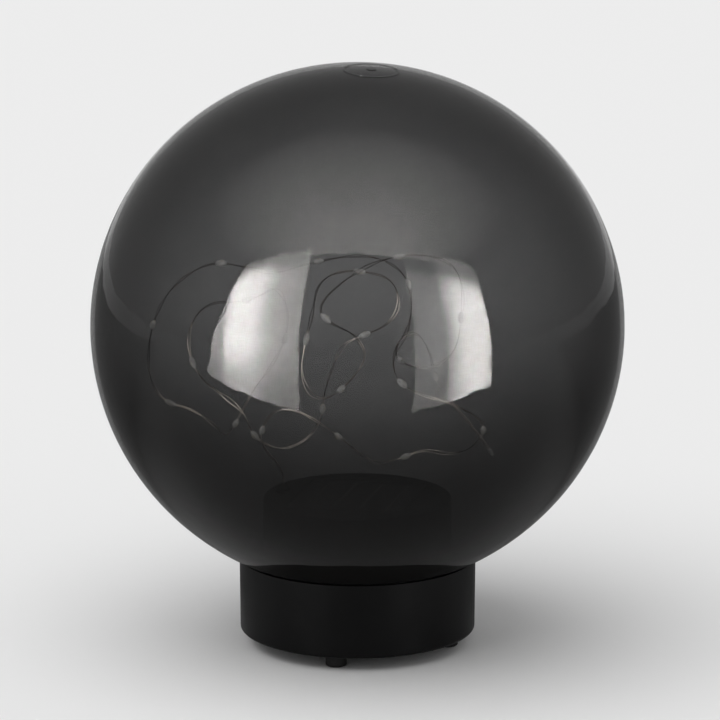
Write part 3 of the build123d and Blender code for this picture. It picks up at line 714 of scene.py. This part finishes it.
# dark and light colour, roughness, grain's scale and depth, specular
mouldedFinishes = {
    "base_black": ((0.0028, 0.0028, 0.0029), (0.0040, 0.0040, 0.0041), (0.32, 0.40),
                   2100, 0.00002, 0.07),
    # painted light: the bottom plate and battery cover are lighter than base_black, standing in
    # for light the underside doesn't get
    "plate_black": ((0.014, 0.014, 0.014), (0.021, 0.021, 0.021), (0.42, 0.55),
                    1700, 0.00004, 0.3),
    "cover_black": ((0.026, 0.026, 0.026), (0.036, 0.036, 0.036), (0.36, 0.50),
                    2300, 0.00003, 0.3),
    "drum_black": ((0.0060, 0.0060, 0.0063), (0.0090, 0.0090, 0.0093), (0.38, 0.48),
                   1900, 0.00003, 0.3),
    "seal_rubber": ((0.010, 0.010, 0.010), (0.018, 0.018, 0.018), (0.62, 0.78),
                    1500, 0.00005, 0.3),
    "foot_rubber": ((0.008, 0.008, 0.008), (0.014, 0.014, 0.014), (0.58, 0.72),
                    1500, 0.00005, 0.3),
    "switch_black": ((0.010, 0.010, 0.011), (0.016, 0.016, 0.017), (0.35, 0.45),
                     3000, 0.00002, 0.5),
    "knob_white": ((0.66, 0.66, 0.64), (0.74, 0.74, 0.72), (0.35, 0.45),
                   3000, 0.00002, 0.5),
    "panel_laminate": ((0.012, 0.014, 0.016), (0.020, 0.022, 0.026), (0.4, 0.5),
                       1200, 0.00003, 0.5),
    "connector_white": ((0.62, 0.60, 0.54), (0.70, 0.68, 0.62), (0.4, 0.5),
                        2200, 0.00002, 0.5),
    "lead_red": ((0.38, 0.012, 0.010), (0.50, 0.020, 0.016), (0.4, 0.5),
                 2600, 0.00002, 0.5),
    "lead_black": ((0.012, 0.012, 0.012), (0.022, 0.022, 0.022), (0.4, 0.5),
                   2600, 0.00002, 0.5),
    "chip_black": ((0.010, 0.010, 0.010), (0.020, 0.020, 0.020), (0.5, 0.65),
                   3800, 0.00002, 0.5),
    "ferrite_grey": ((0.045, 0.043, 0.042), (0.075, 0.072, 0.070), (0.55, 0.7),
                     2800, 0.00002, 0.5),
    "capacitor_sleeve": ((0.012, 0.014, 0.050), (0.018, 0.022, 0.070), (0.3, 0.4),
                         900, 0.00002, 0.5),
    "led_yellow": ((0.30, 0.22, 0.06), (0.42, 0.32, 0.10), (0.35, 0.5),
                   5200, 0.00002, 0.5),
}
# dark and light colour, roughness, streaks
metalFinishes = {
    "ribbon_silver": ((0.62, 0.62, 0.62), (0.76, 0.76, 0.75), (0.28, 0.42), (1, 0.1, 1)),
    "contact_nickel": ((0.56, 0.54, 0.50), (0.70, 0.68, 0.63), (0.22, 0.38), (1, 1, 1)),
    "winding_copper": ((0.62, 0.22, 0.10), (0.80, 0.34, 0.17), (0.20, 0.35), (0.2, 0.2, 6)),
    "screw_steel": ((0.50, 0.50, 0.50), (0.64, 0.64, 0.63), (0.22, 0.38), (1, 1, 1)),
}


def joinedName(slotName):
    # base_black becomes baseBlack
    first, *rest = slotName.split("_")
    return first + "".join(word.capitalize() for word in rest)


finishes = {
    "smoked_clear": makeSmokedClear(),
    "wire_tinned": makeStringWire(),
    "drop_resin": makeDropResin(),
    "solar_silicon": makeSolarSilicon(),
    "panel_resin": makePanelResin(),
    "board_green": makeBoardGreen(),
    "foam_tape": makeFoam(),
    "cell_sleeve": makeCellSleeve(),
}
for slotName, looks in mouldedFinishes.items():
    finishes[slotName] = moulded(joinedName(slotName), *looks)
for slotName, looks in metalFinishes.items():
    finishes[slotName] = drawnMetal(joinedName(slotName), *looks)
print("finishes made")


# the light string
line = stringLine()
frames = steadyFrames(line)
spots = dropFrames(frames)
strands = makeStrands(frames, finishes["wire_tinned"])
drops = makeDrops(spots, finishes["drop_resin"])
chips = makeChips(spots, finishes["led_yellow"])
tip = makeTip(frames[-1], finishes["drop_resin"])
for piece, node, slotName in ((strands, "string_wire", "wire_tinned"),
                              (drops, "led_drops", "drop_resin"),
                              (chips, "led_chips", "led_yellow"),
                              (tip, "string_tip", "drop_resin")):
    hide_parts(node)
lineLength = sum((b - a).length for a, b in zip(line, line[1:]))
print("light string made,", round(lineLength, 4), "m on its line")


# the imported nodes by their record's slot
nodeFinishes = {
    "smoked_clear": ("globe",),
    "seal_rubber": ("globe_seal", "cover_seal", "string_gland"),
    "base_black": ("base_housing", "bottom_plate", "battery_cover"),
    "drum_black": ("drum",),
    "foam_tape": ("panel_tape",),
    "panel_laminate": ("panel_board",),
    "solar_silicon": ("solar_cells",),
    "ribbon_silver": ("cell_ribbons",),
    "panel_resin": ("panel_resin",),
    "cell_sleeve": ("battery_cell",),
    "contact_nickel": ("cell_contact_plus", "cell_contact_minus", "cell_spring"),
    "switch_black": ("switch_body",),
    "knob_white": ("switch_knob",),
    "lead_red": ("panel_lead_red", "switch_lead_red"),
    "lead_black": ("panel_lead_black", "switch_lead_black"),
    "board_green": ("circuit_board",),
    "chip_black": ("control_chip", "resistors"),
    "ferrite_grey": ("boost_coil",),
    "winding_copper": ("coil_winding",),
    "capacitor_sleeve": ("capacitor",),
    "connector_white": ("panel_socket", "panel_plug", "string_socket", "string_plug"),
    "wire_tinned": ("string_lead",),
    "screw_steel": ("plate_screws", "drum_screws", "board_screws"),
    "foot_rubber": ("foot_front", "foot_right", "foot_back", "foot_left"),
}
# the underside has the slot of the base's wall, a rougher finish, and a lighter colour as painted
# light, since the floor keeps light from it
underFinishes = {"bottom_plate": "plate_black", "battery_cover": "cover_black"}


def dressNodes():
    for slotName, nodes in nodeFinishes.items():
        for node in nodes:
            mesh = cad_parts[node].data
            mesh.materials.clear()
            mesh.materials.append(finishes[underFinishes.get(node, slotName)])


dressNodes()
print("packed nodes dressed")


# stage: pale floor and soft light, with the front of a light tent for what is glossy
stage = {
    "floorSize": 16.0,
    "floorColour": (0.86, 0.86, 0.86),
    "floorRough": 0.9,
    "world": 0.66,
    "key": 1.5,
    "keyFrom": (-0.5, 0.45, 2.0),
    "keySpread": 70,            # degrees across, as a wide cloth overhead
}
tentFloor = {       # darker cloth behind the globe, that only glossy finishes mirror
    "size": 3.4,
    "lift": 0.0004,
    "dark": (0.24, 0.24, 0.24),
    "darkFrom": -0.16,      # metres ahead of the globe's middle
    "paleFrom": 0.10,
}
tentEdge = ((0.05, 0), (0.08, 1))       # where a leaning edge of a panel starts
ceilingAim = 0.0001     # keeps the ceiling's aim just off straight down
# middle: across, ahead and up from the globe's middle; lean: how far the left edge slants;
# rest: brightness everywhere; across, up: brightness by the share of the way
tent = {
    "left": {
        "middle": (-0.4625, 0.40, 0.107),
        "size": (0.617, 0.532),
        "radiance": 190,
        "colour": (1, 0.985, 0.97),
        "lean": 0.40,
        "rest": 0.10,
        "across": ((0.0, 0.26), (0.37, 0.26), (0.41, 0.92), (0.66, 0.92), (0.74, 0.66),
                   (0.82, 0.28), (0.93, 0.19), (1.0, 0.15)),
        "up": ((0.0, 0.30), (0.12, 0.42), (0.32, 1.0), (0.84, 1.0), (0.93, 0.1)),
    },
    "right": {
        "middle": (0.360, 0.40, 0.107),
        "size": (0.42, 0.532),
        "radiance": 163,
        "colour": (1, 0.985, 0.97),
        "lean": 0,
        "rest": 0.0,
        "across": ((0.0, 0.12), (0.25, 0.14), (0.44, 0.85), (0.55, 1.0), (0.88, 1.0), (0.90, 0.0)),
        "up": ((0.0, 0.9), (0.2, 1.0), (0.72, 1.0), (0.84, 0.16), (1.0, 0.12)),
    },
    "ceiling": {
        "middle": (0, 0.17, 0.38),
        "size": (1.0, 0.56),
        "radiance": 20,
        "colour": (1, 0.965, 0.945),
        "lean": 0,
        "rest": 0.0,
        "across": ((0.0, 0.0), (0.36, 0.9), (0.60, 1.0), (1.0, 0.0)),
        "up": ((0.0, 1.0), (0.25, 0.95), (0.85, 0.0)),
    },
}
mirrors = {     # what mirrors the tent, and how much of its brightness
    "glass": ((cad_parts["globe"],), 1.0),
    "wires": ((strands, tip), 0.30),
    "drops": ((drops, chips), 0.16),
    "tops": ([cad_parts[n] for n in ("drum", "string_gland", "panel_resin", "solar_cells")],
             0.012),
}
lowCloth = {    # two low cloths that the base's wall mirrors
    "lowLeft": (-0.40, 0.40, -0.085),
    "lowRight": (0.42, 0.40, -0.085),
}
lowSize = (0.27, 0.13)
lowRadiance = 9.0


def tentPlace(across, ahead, up):
    # across and ahead of the globe's middle as the camera sees it, and up
    a = math.radians(camera["heading"])
    return Vector((across * math.cos(a) + ahead * math.sin(a),
                   across * math.sin(a) - ahead * math.cos(a), up + globeCentreZ))


def layCloth(name, size, lift, finish):
    made = bmesh.new()
    bmesh.ops.create_grid(made, x_segments=2, y_segments=2, size=size / 2)
    bmesh.ops.translate(made, verts=made.verts, vec=(0, 0, lift))
    mesh = bpy.data.meshes.new(name)
    made.to_mesh(mesh)
    made.free()
    mesh.materials.append(finish)
    cloth = bpy.data.objects.new(name, mesh)
    scene.collection.objects.link(cloth)
    return cloth


def makeFloor():
    finish, tree, shader = newFinish("floorPaper")
    out = [n for n in tree.nodes if n.type == "OUTPUT_MATERIAL"][0]
    shader.inputs["Base Color"].default_value = (*stage["floorColour"], 1)
    setPlain(shader, rough=stage["floorRough"], specular=0.0)
    under = tree.nodes.new("ShaderNodeNewGeometry")     # seen from below it is open
    clear = tree.nodes.new("ShaderNodeBsdfTransparent")
    side = tree.nodes.new("ShaderNodeMixShader")
    tree.links.new(under.outputs["Backfacing"], side.inputs[0])
    tree.links.new(shader.outputs[0], side.inputs[1])
    tree.links.new(clear.outputs[0], side.inputs[2])
    tree.links.new(side.outputs[0], out.inputs[0])
    layCloth("floor", stage["floorSize"], 0, finish)


def makeTentFloor():
    t = tentFloor
    finish, tree, shader = newFinish("tentCloth")
    ahead = tree.nodes.new("ShaderNodeVectorMath")
    ahead.operation = "DOT_PRODUCT"
    a = math.radians(camera["heading"])
    ahead.inputs[1].default_value = (math.sin(a), -math.cos(a), 0)
    tree.links.new(objectPlace(tree), ahead.inputs[0])
    pale = spread(tree, ahead.outputs["Value"], 0, 1, t["darkFrom"], t["paleFrom"])
    colourFrom(tree, blendColours(tree, pale, t["dark"], stage["floorColour"]), shader)
    setPlain(shader, rough=stage["floorRough"], specular=0.0)
    cloth = layCloth("tentFloor", t["size"], t["lift"], finish)
    cloth.visible_camera = cloth.visible_diffuse = cloth.visible_transmission = False
    cloth.visible_shadow = cloth.visible_volume_scatter = False


def makeWorld():
    world = bpy.data.worlds.new("studio")
    scene.world = world
    world.use_nodes = True
    tree = world.node_tree
    tree.nodes.clear()
    out = tree.nodes.new("ShaderNodeOutputWorld")
    sky = tree.nodes.new("ShaderNodeBackground")
    sky.inputs["Strength"].default_value = stage["world"]
    tree.links.new(sky.outputs[0], out.inputs[0])


def placeLamp(name, data, place, target):
    lamp = bpy.data.objects.new(name, data)
    lamp.location = place
    lamp.rotation_euler = (target - place).to_track_quat("-Z", "Y").to_euler()
    scene.collection.objects.link(lamp)
    return lamp


def addKey():
    data = bpy.data.lights.new("keySoft", "SUN")
    data.energy = stage["key"]
    data.angle = math.radians(stage["keySpread"])
    lamp = placeLamp("keySoft", data, tentPlace(*stage["keyFrom"]), tentPlace(0, 0, 0))
    lamp.visible_glossy = False


def ramped(tree, value, steps):
    ramp = tree.nodes.new("ShaderNodeValToRGB")
    dots = ramp.color_ramp.elements
    while len(dots) < len(steps):
        dots.new(0.5)
    for dot, (where, level) in zip(dots, steps):
        dot.position = where
        dot.color = (level, level, level, 1)
    tree.links.new(value, ramp.inputs[0])
    return ramp.outputs[0]


def shadePanel(data, panel):
    # how bright the panel's cloth is: steps across it, steps up it, and a slanted left edge
    data.use_nodes = True
    tree = data.node_tree
    spot = tree.nodes.new("ShaderNodeNewGeometry").outputs["Parametric"]
    across, up = axisOf(tree, spot, "X"), axisOf(tree, spot, "Y")
    level = calculate(tree, "MULTIPLY", ramped(tree, across, panel["across"]),
                      ramped(tree, up, panel["up"]))
    level = calculate(tree, "ADD", level, panel["rest"])
    if panel["lean"]:
        slant = calculate(tree, "MULTIPLY", up, panel["lean"])
        edge = calculate(tree, "SUBTRACT", across, slant)
        level = calculate(tree, "MULTIPLY", level, ramped(tree, edge, tentEdge))
    tree.links.new(level, tree.nodes["Emission"].inputs["Strength"])


def addPanelLight(name, place, target, size, radiance, receivers):
    # a lit cloth that the camera doesn't see and only the receivers mirror
    data = bpy.data.lights.new(name, "AREA")
    data.shape = "RECTANGLE"
    data.size, data.size_y = size
    data.energy = radiance * math.pi * size[0] * size[1]
    lamp = placeLamp(name, data, place, target)
    lamp.visible_camera = False
    lamp.visible_diffuse = False
    lamp.light_linking.receiver_collection = receivers
    return lamp


def piecesFor(name, members):
    kept = bpy.data.collections.new(name)
    for member in members:
        kept.objects.link(member)
    return kept


def addTent():
    for group, (members, share) in mirrors.items():
        kept = piecesFor(group + "Pieces", members)
        for panelName, panel in tent.items():
            across, ahead, up = panel["middle"]
            facing = tentPlace(across, 0, up)
            if panelName == "ceiling":
                facing = tentPlace(0, ahead - ceilingAim, 0)
            lamp = addPanelLight(panelName + group.capitalize(), tentPlace(across, ahead, up),
                                 facing, panel["size"], panel["radiance"] * share, kept)
            lamp.data.color = panel["colour"]
            lamp.visible_diffuse = group == "drops"     # their milky part catches it too
            shadePanel(lamp.data, panel)


def addLowCloths():
    wall = piecesFor("wallPieces", [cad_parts["base_housing"]])
    for name, middle in lowCloth.items():
        addPanelLight(name, tentPlace(*middle), tentPlace(0, 0, middle[2]), lowSize, lowRadiance,
                      wall)


makeFloor()
makeTentFloor()
makeWorld()
addKey()
addTent()
addLowCloths()
print("stage and lights placed")

scene.view_settings.view_transform = "Standard"
